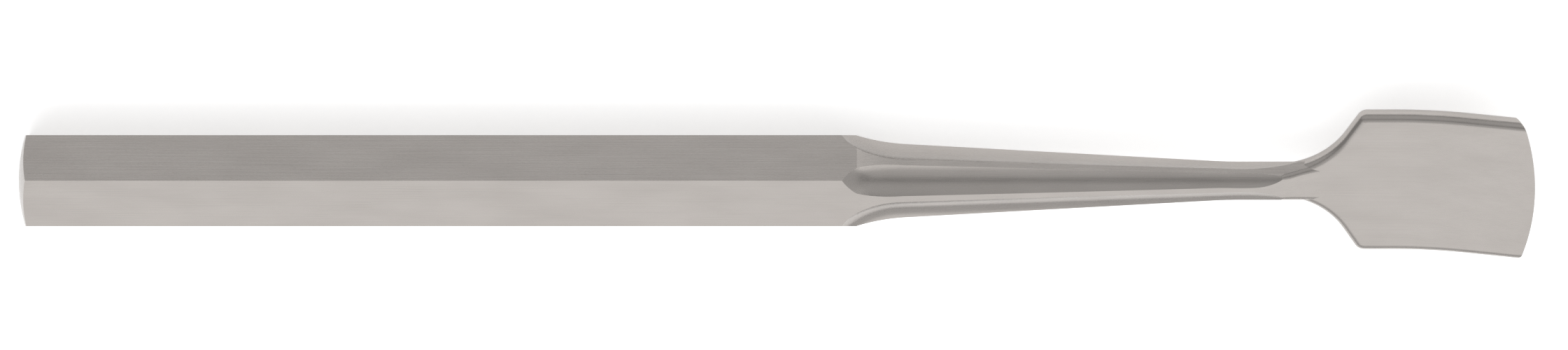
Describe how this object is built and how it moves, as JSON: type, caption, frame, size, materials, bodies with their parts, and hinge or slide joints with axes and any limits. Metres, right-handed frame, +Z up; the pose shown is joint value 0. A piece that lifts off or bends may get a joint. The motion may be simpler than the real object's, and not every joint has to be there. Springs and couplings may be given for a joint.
{
  "type": "periosteal elevator",
  "caption": "One-piece steel periosteal elevator: hexagonal handle, fluted tapering shank and a broad spade blade with a curved, upturned edge.",
  "frame": {"origin": "under the middle of the overall length, on the plane the handle's lower flat rests on", "axes": "+X from the handle's domed end to the blade's edge, +Y across the blade, +Z up, the side the blade's face looks at"},
  "size_m": [0.19, 0.0198, 0.0114],
  "materials": {
    "steel": "satin ground stainless steel, fine marks along the length, slightly warm grey"
  },
  "bodies": {
    "root": {"elevator": "steel"}
  },
  "joints": []
}
